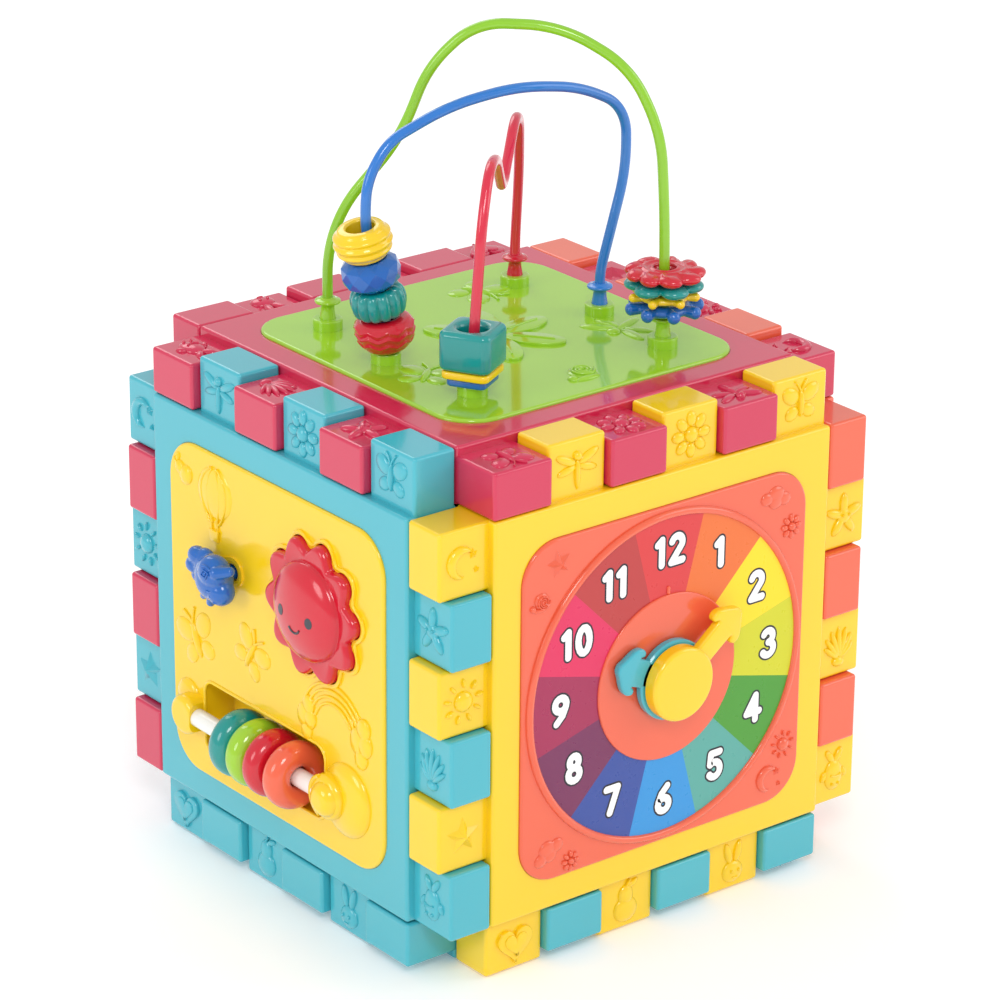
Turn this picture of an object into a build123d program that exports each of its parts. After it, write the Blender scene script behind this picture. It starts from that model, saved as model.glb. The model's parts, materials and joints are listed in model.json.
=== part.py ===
from build123d import *
import math
import os

# Baby activity cube: six play panels whose edges lock together with square fingers.
# Frame: origin at the centre of the base's face, +Z up, clock panel facing -Y. Millimetres.

# ---------------------------------------------------------------- driving dimensions
PITCH = 28.0                      # width of one finger or one gap; six of them make an edge
HALF = 3 * PITCH                  # cube centre to the inner side of the fingers
FINGER_THICK = 19.4               # thickness of a finger
FACE_STEP = 3.6                   # the frame's face stands above its fingers
FACE = HALF + FINGER_THICK + FACE_STEP
GAP = 0.15                        # clearance on each side of every joint between panels
BASE_GAP = 0.9                    # the base panel's fingers sit a little lower
FINGER_TOP = HALF + FINGER_THICK
FINGER_END = FACE - 0.2
SIDE = HALF - GAP                 # half the frame's width
WALL = 2.4
SKIN = 2.4                        # thickness of the frame's face
EDGE_R = 1.4                      # rounding of the moulded edges

INSERT = 71.0                     # half the insert's width
INSERT_R = 17.0
INSERT_RISE = 1.3                 # the insert stands above the frame's face
TOP = FACE + INSERT_RISE
LEDGE_IN = 67.0
LEDGE_R = 30.0
LEDGE_THICK = 2.2
INSERT_BACK = FACE - SKIN + 0.05
PLATE_BACK = TOP - 2.2            # back of the insert's thin middle
SCREW_POS = 62.5
SCREW_R = 1.5
SCREW_HEAD_R = 3.0

DIAL_R = 66.3
DISC_R = 34.5
DISC_RISE = 1.2
COLLAR_R = 6.4
SPINDLE_R = 4.0
HUB_R = 16.5
KNOB_R = 15.2
KNOB_RISE = 11.4
HOUR_ANGLE = 67.0                 # hour hand, turned left from twelve
MINUTE_ANGLE = -52.0              # minute hand, turned right from twelve

ROD_R = 3.75
ROD_RISE = 3.5                    # rod's axis above the insert
ROD_V = -44.5                     # rod's height on the abacus panel
WINDOW = (-49.0, 33.6, -60.0, -28.0)
TUB_FLOOR = TOP - 14.3
RING_R = 14.0
RING_WIDTH = 11.3
RING_U = {"teal_ring": -19.4, "green_ring": -7.9, "red_ring": 3.6, "orange_ring": 17.3}
RING_BORE = 4.1
BOSS_LEFT = (-55.0, 8.5)
BOSS_RIGHT = (41.0, 9.5)
BOSS_TOP = TOP + 8.5

SLOT_RIGHT = (-26.5, 26.0)
SLOT_LEFT = (-45.5, 19.8)
SLOT_WIDTH = 7.4
BIRD_BACK = 3.2                   # bird's rest place, back from the slot's right end

SUN_AT = (28.3, 29.0)
SUN_RAYS = 10
SUN_RAY_TURN = 112.0              # direction of the first ray
SUN_CORE_R = 24.2
SUN_LOBE_AT = 23.9
SUN_LOBE_R = 5.4
SUN_RISE = 4.6
SUN_DOME_R = 20.3
SUN_DOME_RISE = 11.4
HOLDER_R = 33.0
HOLDER_FLOOR = 91.0
BELLOWS_R = 13.0

WIRE_R = 2.1
SOCKET_R = 6.0
SOCKET_RISE = 4.3
FOOT_PLUG_R = 3.3
FOOT_FLANGE_R = 5.2
FOOT_DEPTH = 5.0
GREEN_FOOT = (-46.5, 48.0)
BLUE_FOOT = (-51.0, 3.5)
RED_FOOT = (-46.0, -45.0)
RED_LEAN = 3.4                    # the red wire leans out of its plane
LEG_STRAIGHT = 19.0               # above this height a wire may lean; below it stands in its foot
BLUE_LEG_TOP = (-60.6, 58.0)      # upper end of the blue wire's straight leaning leg

SQUARE_YAW = 29.5                 # how the square beads stand turned on the red wire
FLOWER_BORE = 3.2

GEAR_MODULE = 4.0
GEAR_TEETH = {"large_gear": 16, "medium_gear": 12, "small_gear": 12}
LARGE_AT = (-28.0, 20.0)
MEDIUM_WAY = -12.0                # direction from the large gear to the medium gear
SMALL_WAY = -112.0                # direction from the medium gear to the small gear
GEAR_RISE = 0.6
GEAR_THICK = 8.0
POST_R = 4.0

MIRROR_R = 36.0
BEZEL_BORE = 40.06
BEZEL_R = 50.0
BEZEL_PETALS = 8

CENTRE, LOW, HIGH = Align.CENTER, Align.MIN, Align.MAX

PANELS = {
    "clock": Plane(origin=(0, 0, FACE), x_dir=(1, 0, 0), z_dir=(0, -1, 0)),
    "abacus": Plane(origin=(0, 0, FACE), x_dir=(0, -1, 0), z_dir=(-1, 0, 0)),
    "gear": Plane(origin=(0, 0, FACE), x_dir=(-1, 0, 0), z_dir=(0, 1, 0)),
    "mirror": Plane(origin=(0, 0, FACE), x_dir=(0, 1, 0), z_dir=(1, 0, 0)),
    "top": Plane(origin=(0, 0, FACE), x_dir=(-1, 0, 0), z_dir=(0, 0, 1)),
    "base": Plane(origin=(0, 0, FACE), x_dir=(1, 0, 0), z_dir=(0, 0, -1)),
}

os.makedirs("parts", exist_ok=True)


# ---------------------------------------------------------------- helpers
def save(name, shape):
    """Write one sub-part."""
    shape.label = name
    export_step(shape, f"parts/{name}.step")


def on_panel(panel, shape):
    """Move a shape from a panel's own frame (u right, v up, w out of the cube) to its place."""
    return PANELS[panel].location * shape


def disc(radius, low, high, at=(0, 0)):
    """Upright cylinder between two heights."""
    return Pos(at[0], at[1], low) * Cylinder(radius, high - low, align=(CENTRE, CENTRE, LOW))


def tube(inner, outer, low, high, at=(0, 0)):
    return disc(outer, low, high, at) - disc(inner, low - 1, high + 1, at)


def prism(face, low, high):
    """Extrude a flat sketch between two heights."""
    return Pos(0, 0, low) * extrude(face, high - low)


def rounded_plate(half, radius, low, high):
    return prism(RectangleRounded(2 * half, 2 * half, radius), low, high)


def soften_top(shape, radius):
    return fillet(shape.edges().group_by(Axis.Z)[-1], radius)


# ---------------------------------------------------------------- panel frames
def finger(seat):
    """One hollow finger that stands out of the +v side, open where it sits on its neighbour."""
    width = PITCH - 2 * GAP
    root = SIDE - WALL / 2
    size = (CENTRE, LOW, LOW)
    block = Pos(0, root, seat) * Box(width, FINGER_END - root, FINGER_TOP - seat, align=size)
    outer = [e for e in block.edges() if e.center().Y > root + 1]
    block = fillet(outer, EDGE_R)
    depth = FINGER_TOP - WALL - (seat - 1)
    hollow = Box(width - 2 * WALL, FINGER_END - WALL - SIDE, depth, align=size)
    return block - Pos(0, SIDE, seat - 1) * hollow


def panel_frame(seat=HALF + GAP):
    """Shell of a panel: a face with a square opening and ledge, side walls and twelve fingers."""
    rim = HALF + GAP
    shell = soften_top(rounded_plate(SIDE, EDGE_R, rim, FACE), EDGE_R)
    shell -= rounded_plate(SIDE - WALL, 1.0, rim - 1, FACE - SKIN)
    ledge_low = FACE - SKIN - LEDGE_THICK
    ledge = rounded_plate(INSERT + 4, INSERT_R + 4, ledge_low, FACE - SKIN)
    ledge -= rounded_plate(LEDGE_IN, LEDGE_R, ledge_low - 1, FACE)
    for spot in GridLocations(2 * SCREW_POS, 2 * SCREW_POS, 2, 2):
        ledge -= spot * disc(SCREW_R + 0.2, ledge_low - 1, FACE)
    shell -= rounded_plate(INSERT + GAP, INSERT_R + GAP, FACE - SKIN, FACE + 1)
    shell += ledge
    one = finger(seat)
    for quarter in range(4):
        for slot in (1, 3, 5):
            along = (slot + 0.5) * PITCH - HALF
            shell += Rot(0, 0, -90 * quarter) * Pos(along, 0, 0) * one
    return shell


def plain_insert(rise=INSERT_RISE):
    """Square plate with round corners, thick where it sits on the ledge, thin in the middle."""
    top = FACE + rise
    plate = rounded_plate(INSERT, INSERT_R, INSERT_BACK, top)
    plate = soften_top(plate, 1.1)
    plate -= rounded_plate(LEDGE_IN - 1, LEDGE_R, INSERT_BACK - 1, top - (TOP - PLATE_BACK))
    for spot in GridLocations(2 * SCREW_POS, 2 * SCREW_POS, 2, 2):
        plate -= spot * disc(SCREW_R + 0.05, INSERT_BACK - 1, INSERT_BACK + 2.3)
    return plate


def screw(seat, length, at=(0, 0)):
    """Pan-head screw driven outwards, its head under the seat."""
    head = disc(SCREW_HEAD_R, seat - 2.0, seat, at)
    head -= Pos(at[0], at[1], seat - 1.5) * Box(0.8, 3.6, 1.2, align=(CENTRE, CENTRE, HIGH))
    return head + disc(SCREW_R, seat, seat + length, at)


def insert_screws():
    seat = FACE - SKIN - LEDGE_THICK
    return [spot * screw(seat, 4.4) for spot in GridLocations(2 * SCREW_POS, 2 * SCREW_POS, 2, 2)]


def save_panel(panel, insert, extra_screws=(), seat=HALF + GAP):
    save(f"{panel}_frame", on_panel(panel, panel_frame(seat)))
    save(f"{panel}_insert", on_panel(panel, insert))
    screws = insert_screws() + list(extra_screws)
    save(f"{panel}_screws", on_panel(panel, Compound(children=screws)))


# ---------------------------------------------------------------- clock
def arrow(shaft, neck, head, tip):
    """Flat arrow along +v: shaft half width, where the head starts, its half width, its tip."""
    outline = Polyline(
        (-shaft, 0), (-shaft, neck), (-head, neck - 1), (-head, neck + 3), (0, tip),
        (head, neck + 3), (head, neck - 1), (shaft, neck), (shaft, 0), close=True,
    )
    return make_face(outline)


def build_clock():
    disc_top = TOP + DISC_RISE
    boss_back = 98.0
    hour_low, hour_high = disc_top + 0.3, disc_top + 4.0
    minute_low, minute_high = disc_top + 4.3, disc_top + 8.2
    knob_top = TOP + KNOB_RISE

    insert = plain_insert()
    insert += tube(DIAL_R + 0.1, DIAL_R + 2.2, TOP - 0.5, TOP + DISC_RISE)
    insert += soften_top(disc(DISC_R, TOP - 0.5, disc_top), 0.6)
    insert += disc(COLLAR_R, disc_top - 0.5, disc_top + 3.6)
    insert += disc(8.0, boss_back, PLATE_BACK + 0.5)
    insert -= disc(SPINDLE_R + 0.06, boss_back - 1, disc_top + 5)
    save_panel("clock", insert)
    save("clock_dial_card", on_panel("clock", tube(DISC_R + 0.1, DIAL_R, TOP, TOP + 0.35)))

    hour = prism(arrow(5.5, 21.0, 9.4, 30.0), hour_low, hour_high)
    hour += disc(HUB_R, hour_low, hour_high)
    hour -= disc(COLLAR_R + 0.06, hour_low - 1, hour_high + 1)
    save("hour_hand", on_panel("clock", Rot(0, 0, HOUR_ANGLE) * hour))

    minute = prism(arrow(4.6, 27.0, 8.2, 38.0), minute_low, minute_high)
    minute += soften_top(disc(KNOB_R, minute_low, knob_top), 1.6)
    minute -= disc(SPINDLE_R + 0.03, minute_low - 1, minute_low + 4)
    save("minute_hand", on_panel("clock", Rot(0, 0, MINUTE_ANGLE) * minute))

    spindle = disc(SPINDLE_R, boss_back - 0.1, minute_low + 3.9)
    spindle -= disc(SCREW_R + 0.05, boss_back - 1, boss_back + 7)
    save("clock_spindle", on_panel("clock", spindle))
    washer_screw = disc(6.6, boss_back - 2.0, boss_back - 0.15)
    washer_screw += disc(SCREW_R, boss_back - 0.3, boss_back + 6)
    save("spindle_screw", on_panel("clock", washer_screw))


# ---------------------------------------------------------------- abacus panel
def sun_outline(grow):
    lobes = PolarLocations(SUN_LOBE_AT, SUN_RAYS, start_angle=SUN_RAY_TURN) * Circle(SUN_LOBE_R + grow)
    return Circle(SUN_CORE_R + grow) + lobes


def slot_way():
    return math.degrees(math.atan2(SLOT_RIGHT[1] - SLOT_LEFT[1], SLOT_RIGHT[0] - SLOT_LEFT[0]))


def slot_sketch(grow):
    length = math.dist(SLOT_RIGHT, SLOT_LEFT)
    middle = ((SLOT_RIGHT[0] + SLOT_LEFT[0]) / 2, (SLOT_RIGHT[1] + SLOT_LEFT[1]) / 2)
    return Pos(*middle) * Rot(0, 0, slot_way()) * SlotCenterToCenter(length, SLOT_WIDTH + 2 * grow)


def ring():
    """Abacus ring lying along u, fully rounded outside."""
    body = tube(RING_BORE, RING_R, -RING_WIDTH / 2, RING_WIDTH / 2)
    outer = [e for e in body.edges().filter_by(GeomType.CIRCLE) if e.radius > RING_R - 1]
    body = fillet(outer, RING_WIDTH / 2 - 0.4)
    inner = [e for e in body.edges().filter_by(GeomType.CIRCLE) if e.radius < RING_BORE + 1]
    body = fillet(inner, 4.2)
    return Rot(0, 90, 0) * body


def build_abacus():
    u0, u1, v0, v1 = WINDOW
    wide, tall = u1 - u0, v1 - v0
    window = Pos((u0 + u1) / 2, (v0 + v1) / 2) * RectangleRounded(wide, tall, 6)
    tub = Pos((u0 + u1) / 2, (v0 + v1) / 2) * RectangleRounded(wide + 4, tall + 4, 8)
    rod_w = TOP + ROD_RISE
    left_u, left_r = BOSS_LEFT
    right_u, right_r = BOSS_RIGHT
    ears = (225, 315)
    reach = 36.5 * math.sqrt(0.5)
    ear_spots = [(SUN_AT[0] - reach, SUN_AT[1] - reach), (SUN_AT[0] + reach, SUN_AT[1] - reach)]

    insert = plain_insert()
    insert += prism(tub, TUB_FLOOR - 2, TOP - 0.5)
    insert += soften_top(disc(left_r, TOP - 0.5, BOSS_TOP - 0.5, (left_u, ROD_V)), 3.0)
    insert += soften_top(disc(right_r, TOP - 0.5, BOSS_TOP - 1.0, (right_u, ROD_V)), 3.0)
    insert += soften_top(disc(7.4, BOSS_TOP - 3, BOSS_TOP + 2.5, (right_u + 1.0, ROD_V)), 5.0)
    insert += prism(slot_sketch(2.4), TOP - 0.5, TOP + 1.0)
    insert += Pos(*SUN_AT, 0) * prism(sun_outline(2.0), TOP - 0.5, TOP + 1.0)
    for spot in ear_spots:
        insert += disc(3.2, 101.05, PLATE_BACK + 0.5, spot)
    insert -= prism(window, TUB_FLOOR, TOP + 20)
    insert -= prism(slot_sketch(0), PLATE_BACK - 1, TOP + 5)
    insert -= Pos(*SUN_AT, 0) * prism(sun_outline(0.5), PLATE_BACK - 1, TOP + 5)
    for spot in ear_spots:
        insert -= disc(SCREW_R + 0.05, 100.0, 105.8, spot)
    rod_from, rod_to = left_u - 1.0, right_u + 2.0
    bore = Pos(rod_from, ROD_V, rod_w) * Rot(0, 90, 0) * disc(ROD_R + 0.05, 0, rod_to - rod_from)
    insert -= bore
    rod = Pos(rod_from, ROD_V, rod_w) * Rot(0, 90, 0) * disc(ROD_R, 0.2, rod_to - rod_from - 0.2)
    ear_screws = [screw(99.0, 6.0, spot) for spot in ear_spots]
    save_panel("abacus", insert, ear_screws)
    save("abacus_rod", on_panel("abacus", rod))
    for name, along in RING_U.items():
        save(name, on_panel("abacus", Pos(along, ROD_V, rod_w) * ring()))

    # bird slider: bird and stem in front, keeper plate and screw behind the slot
    way = math.radians(slot_way())
    bird_at = (SLOT_RIGHT[0] - BIRD_BACK * math.cos(way), SLOT_RIGHT[1] - BIRD_BACK * math.sin(way))
    bird = soften_top(disc(9.6, TOP + 1.6, TOP + 15.0), 6.5)
    bird += Pos(9.0, 5.5, TOP + 10.0) * Sphere(3.6)
    bird += Pos(-11.5, 3.5, TOP + 6.6) * Sphere(5.0)
    bird += disc(3.4, PLATE_BACK - 0.3, TOP + 4)
    bird -= disc(SCREW_R + 0.05, PLATE_BACK - 1, TOP + 6)
    save("bird_slider", on_panel("abacus", Pos(*bird_at, 0) * bird))
    keeper = prism(SlotOverall(36, 12), PLATE_BACK - 1.9, PLATE_BACK - 0.3)
    keeper -= disc(SCREW_R + 0.05, 90, TOP)
    keeper = Rot(0, 0, slot_way()) * keeper
    save("slider_keeper", on_panel("abacus", Pos(*bird_at, 0) * keeper))
    save("slider_screw", on_panel("abacus", screw(PLATE_BACK - 1.9, 7.0, bird_at)))

    # sun button over its squeaker
    flange_low = PLATE_BACK - 2.1
    button = prism(sun_outline(0), PLATE_BACK - 1, TOP + SUN_RISE)
    button = soften_top(button, 1.2)
    button += soften_top(disc(SUN_DOME_R, TOP, TOP + SUN_DOME_RISE), 6.0)
    button += disc(30.6, flange_low, flange_low + 1.9)
    save("sun_button", on_panel("abacus", Pos(*SUN_AT, 0) * button))
    holder = tube(31.2, HOLDER_R, HOLDER_FLOOR, PLATE_BACK - 0.05)
    holder += disc(HOLDER_R, HOLDER_FLOOR, HOLDER_FLOOR + 2)
    for turn in ears:
        ear = Pos(HOLDER_R + 1.7, 0, 99.0) * Box(10.4, 7.0, 2.0, align=(CENTRE, CENTRE, LOW))
        ear -= disc(31.5, 90, TOP)
        ear -= disc(SCREW_R + 0.1, 90, TOP, (36.5, 0))
        holder += Rot(0, 0, turn) * ear
    holder -= disc(4.6, HOLDER_FLOOR - 1, HOLDER_FLOOR + 3)
    save("squeaker_holder", on_panel("abacus", Pos(*SUN_AT, 0) * holder))
    bellows_low, bellows_high = HOLDER_FLOOR + 2.05, flange_low - 0.05
    fold = (bellows_high - bellows_low) / 6
    outer = [(BELLOWS_R if i % 2 else BELLOWS_R - 2.4, bellows_low + i * fold) for i in range(7)]
    inner = [(r - 1.3, z) for r, z in reversed(outer[1:-1])]
    wall = [(5.0, bellows_low), *outer, (5.0, bellows_high)]
    wall += [(5.0, bellows_high - 1.3), *inner, (5.0, bellows_low + 1.3)]
    profile = make_face(Polyline([(r, 0, z) for r, z in wall], close=True))
    save("squeaker_bellows", on_panel("abacus", Pos(*SUN_AT, 0) * revolve(profile, Axis.Z)))
    reed = tube(1.6, 4.5, HOLDER_FLOOR - 1.5, HOLDER_FLOOR + 5) + tube(1.6, 6.5, 89.3, HOLDER_FLOOR - 0.05)
    save("squeaker_reed", on_panel("abacus", Pos(*SUN_AT, 0) * reed))


# ---------------------------------------------------------------- gear panel
def tooth_angle_in_mesh(driver_teeth, driver_angle, way, teeth):
    """Angle of one tooth of a gear that meshes with a driver which lies opposite to way."""
    ahead = driver_angle - way
    return way + 180 - ahead * driver_teeth / teeth + 180 / teeth


def gear_sketch(teeth):
    """Involute gear with 25 degree pressure angle and a toy's generous backlash."""
    m = GEAR_MODULE
    pitch_r, tip_r, root_r = m * teeth / 2, m * (teeth / 2 + 0.88), m * (teeth / 2 - 1.12)
    base_r = pitch_r * math.cos(math.radians(25))

    def swing(r):
        a = math.acos(base_r / r)
        return math.tan(a) - a

    half = (math.pi / 2 - 0.13) / teeth
    flank = [(root_r, half + swing(pitch_r))]
    for i in range(5):
        r = base_r + (tip_r - base_r) * i / 4
        flank.append((r, half + swing(pitch_r) - swing(r)))
    points = []
    for t in range(teeth):
        middle = 2 * math.pi * t / teeth
        points += [(r * math.cos(middle - a), r * math.sin(middle - a)) for r, a in flank]
        points += [(r * math.cos(middle + a), r * math.sin(middle + a)) for r, a in reversed(flank)]
    return make_face(Polyline(points, close=True))


def gear_layout():
    """Centre and tooth angle of each gear, so that the three are in mesh."""
    large, medium, small = GEAR_TEETH.values()
    first = (LARGE_AT, MEDIUM_WAY)
    reach = GEAR_MODULE * (large + medium) / 2
    way = math.radians(MEDIUM_WAY)
    medium_at = (LARGE_AT[0] + reach * math.cos(way), LARGE_AT[1] + reach * math.sin(way))
    medium_angle = tooth_angle_in_mesh(large, MEDIUM_WAY, MEDIUM_WAY, medium)
    reach = GEAR_MODULE * (medium + small) / 2
    way = math.radians(SMALL_WAY)
    small_at = (medium_at[0] + reach * math.cos(way), medium_at[1] + reach * math.sin(way))
    small_angle = tooth_angle_in_mesh(medium, medium_angle, SMALL_WAY, small)
    return dict(zip(GEAR_TEETH, [first, (medium_at, medium_angle), (small_at, small_angle)]))


def build_gears():
    low, high = TOP + GEAR_RISE, TOP + GEAR_RISE + GEAR_THICK
    insert = plain_insert()
    screws = []
    for name, (at, angle) in gear_layout().items():
        root_r = GEAR_MODULE * (GEAR_TEETH[name] / 2 - 1.12)
        insert += disc(POST_R, TOP - 1, high + 0.2, at)
        insert += disc(POST_R + 3, PLATE_BACK - 3, PLATE_BACK + 0.5, at)
        insert -= disc(SCREW_R + 0.05, TOP - 4, high + 1, at)
        wheel = prism(gear_sketch(GEAR_TEETH[name]), low, high)
        wheel -= tube(POST_R + 4, root_r - 4, high - 2.5, high + 1)
        wheel -= disc(POST_R + 0.06, low - 1, high + 1)
        save(name, on_panel("gear", Pos(*at, 0) * Rot(0, 0, angle) * wheel))
        head = soften_top(disc(6.2, high + 0.3, high + 3.3, at), 1.2)
        screws.append(head + disc(SCREW_R, TOP - 1, high + 1, at))
    save_panel("gear", insert)
    save("gear_axle_pins", on_panel("gear", Compound(children=screws)))


# ---------------------------------------------------------------- mirror panel
def build_mirror():
    insert = plain_insert()
    insert += tube(MIRROR_R + 0.3, BEZEL_BORE - 0.06, TOP - 0.5, TOP + 5.2)
    insert += tube(MIRROR_R + 0.3, BEZEL_BORE + 1.4, TOP + 5.0, TOP + 6.4)
    save_panel("mirror", insert)
    save("mirror_disc", on_panel("mirror", disc(MIRROR_R, TOP + 0.02, TOP + 2.0)))
    petals = PolarLocations(BEZEL_R - 3, BEZEL_PETALS) * Circle(11.0)
    bezel = prism(Circle(BEZEL_R) + petals, TOP + 0.3, TOP + 6.4)
    bezel = soften_top(bezel, 1.6)
    bezel -= disc(BEZEL_BORE, TOP - 1, TOP + 10)
    bezel -= disc(BEZEL_BORE + 1.8, TOP + 4.7, TOP + 10)
    save("mirror_bezel", on_panel("mirror", bezel))


# ---------------------------------------------------------------- wires
def rounded_route(points, tight=None):
    """Straight runs joined by tangent arcs, each arc as large as its two runs allow."""
    tight = tight or {}
    route = [Vector(*p) for p in points]
    radii = []
    for i in range(1, len(route) - 1):
        before, after = route[i] - route[i - 1], route[i + 1] - route[i]
        turn = math.radians(before.get_angle(after))
        radius = 0.45 * min(before.length, after.length) / math.tan(turn / 2)
        radii.append(tight.get(i, radius))
    return FilletPolyline(*route, radius=radii)


def wire(foot, side_view, lean=0.0, tight=None):
    """Bent wire over the line from a foot to its opposite foot; side_view is (along, up) points."""
    span = math.hypot(*foot)
    along = (-foot[0] / span, -foot[1] / span)
    across = (-along[1], along[0])
    drift = -math.tan(math.radians(lean))
    points = []
    for s, h in side_view:
        out = drift * max(h - LEG_STRAIGHT, 0)
        points.append((along[0] * s + across[0] * out, along[1] * s + across[1] * out, 2 * FACE + h))
    path = rounded_route(points, tight)
    start = Plane(origin=path @ 0, z_dir=path % 0)
    return sweep(start * Circle(WIRE_R), path=path)


def wire_foot():
    """Plug that stands in a socket, with a neck and a round flange; the wire ends inside it."""
    base, rim = -FOOT_DEPTH, SOCKET_RISE
    outline = [
        (WIRE_R + 0.05, base), (FOOT_PLUG_R, base), (FOOT_PLUG_R, rim), (2.6, rim + 5.4),
        (FOOT_FLANGE_R, rim + 6.4), (FOOT_FLANGE_R, rim + 7.6), (WIRE_R + 0.6, rim + 8.8),
        (WIRE_R + 0.05, rim + 8.8),
    ]
    profile = make_face(Polyline([(r, 0, z) for r, z in outline], close=True))
    return revolve(profile, Axis.Z)


def opposite(at):
    return (-at[0], -at[1])


def save_wire(colour, foot, side_view, lean=0.0, tight=None):
    save(f"{colour}_wire", wire(foot, side_view, lean, tight))
    face = FACE + TOP
    feet = [Pos(*at, face) * wire_foot() for at in (foot, opposite(foot))]
    save(f"{colour}_wire_feet", Compound(children=feet))


def build_top():
    insert = plain_insert()
    sockets = [GREEN_FOOT, BLUE_FOOT, RED_FOOT]
    for at in sockets + [opposite(a) for a in sockets]:
        insert += soften_top(disc(SOCKET_R, TOP - 0.5, TOP + SOCKET_RISE, at), 0.8)
        insert += disc(SOCKET_R, TOP - FOOT_DEPTH - 2, PLATE_BACK + 0.5, at)
        insert -= disc(FOOT_PLUG_R + 0.05, TOP - FOOT_DEPTH, TOP + SOCKET_RISE + 1, at)
    save_panel("top", insert)

    g = math.hypot(*GREEN_FOOT)
    save_wire("green", GREEN_FOOT, [
        (-g, -3), (-g, 44.5), (-37.5, 81.5), (-26.5, 111), (-8, 129.3),
        (25, 129.3), (52, 114), (64.5, 88), (g, 50), (g, -3),
    ])
    b = math.hypot(*BLUE_FOOT)
    save_wire("blue", BLUE_FOOT, [
        (-b, -3), (-b, LEG_STRAIGHT), BLUE_LEG_TOP, (-59.6, 76), (-50, 90), (-22, 99.7),
        (10, 102.5), (40, 97.5), (62.5, 86), (63, 60), (b, LEG_STRAIGHT), (b, -3),
    ], tight={1: 30.0, 10: 30.0})
    r = math.hypot(*RED_FOOT)
    save_wire("red", RED_FOOT, [
        (-r, -3), (-r, LEG_STRAIGHT), (-62.5, 68), (-50.5, 86.5), (-31, 85.5), (0, 62),
        (30, 83), (46, 78), (59.5, 52), (r, LEG_STRAIGHT), (r, -3),
    ], lean=RED_LEAN, tight={1: 60.0, 5: 12.0, 9: 50.0})


# ---------------------------------------------------------------- beads
def revolved_bead(outline):
    """Bead turned about its axis from (radius, height) points, bore first and last."""
    profile = make_face(Polyline([(r, 0, z) for r, z in outline], close=True))
    return revolve(profile, Axis.Z)


def petal_disc(core, petal_r, petal_at, count, thick, bore):
    face = Circle(core) + PolarLocations(petal_at, count) * Circle(petal_r)
    return prism(face - Circle(bore), -thick / 2, thick / 2)


def build_beads():
    # blue leg: four onion-shaped beads, each tipped with the leaning leg that it hangs on
    span = math.hypot(*BLUE_FOOT)
    lean = math.atan2(-BLUE_LEG_TOP[0] - span, BLUE_LEG_TOP[1] - LEG_STRAIGHT)
    blue_leg = {
        # radius, half height, bore radius, centre height, set out from the wire, tip in degrees
        "red_zigzag_bead": (12.0, 6.9, 5.7, 13.4, 0.3, 7.0),
        "teal_ribbed_bead": (11.2, 6.0, 5.7, 27.0, 1.4, 11.0),
        "blue_faceted_bead": (11.7, 6.0, 6.0, 39.5, 1.8, 13.0),
        "yellow_stepped_bead": (11.7, 6.6, 7.0, 52.3, 2.2, 13.0),
    }
    for name, (radius, tall, bore, height, out, tip) in blue_leg.items():
        s = span + max(height - LEG_STRAIGHT, 0) * math.tan(lean) + out
        rim = max(0.72 * radius, bore + 1.2)
        outline = [
            (bore, -tall), (rim, -tall), (0.96 * radius, -0.35 * tall), (radius, 0.15 * tall),
            (0.92 * radius, 0.6 * tall), (rim, tall), (bore, tall),
        ]
        at = Pos(BLUE_FOOT[0] / span * s, BLUE_FOOT[1] / span * s, 2 * FACE + height)
        save(name, at * Rot(0, -tip, 0) * revolved_bead(outline))

    # red leg: two rounded square discs and a rounded cube
    red_leg = {
        # half width, thickness, centre height, corner radius, edge radius
        "blue_square_disc": (8.2, 3.0, 7.25, 2.5, 0.8),
        "yellow_square_disc": (9.8, 3.2, 10.55, 3.0, 0.8),
        "teal_cube_bead": (10.7, 15.9, 20.35, 3.0, 1.6),
    }
    for name, (half, thick, height, corner, edge) in red_leg.items():
        body = prism(RectangleRounded(2 * half, 2 * half, corner), -thick / 2, thick / 2)
        body = fillet(body.edges().group_by(Axis.Z)[-1] + body.edges().group_by(Axis.Z)[0], edge)
        body -= disc(5.7, -thick, thick)
        save(name, Pos(*RED_FOOT, 2 * FACE + height) * Rot(0, 0, SQUARE_YAW) * body)

    # green leg: a stack of flower discs that rests on the foot's flange
    green_leg = {
        # core radius, petal radius, petal circle, petals, thickness, centre height
        "blue_flower_disc": (10.5, 4.0, 12.6, 7, 5.5, 17.25),
        "yellow_flower_disc": (10.5, 4.4, 11.2, 6, 4.1, 22.15),
        "teal_flower_disc": (11.0, 5.6, 10.6, 6, 4.6, 26.6),
        "red_rosette": (12.0, 4.2, 12.8, 9, 5.2, 31.6),
    }
    for name, (core, petal_r, petal_at, count, thick, height) in green_leg.items():
        body = petal_disc(core, petal_r, petal_at, count, thick, FLOWER_BORE)
        save(name, Pos(*opposite(GREEN_FOOT), 2 * FACE + height) * body)


build_clock()
build_abacus()
build_gears()
build_mirror()
build_top()
save_panel("base", plain_insert(rise=0.0), seat=HALF + BASE_GAP)
build_beads()
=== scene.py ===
import json
import math

import bmesh
import bpy
from mathutils import Matrix, Vector


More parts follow.
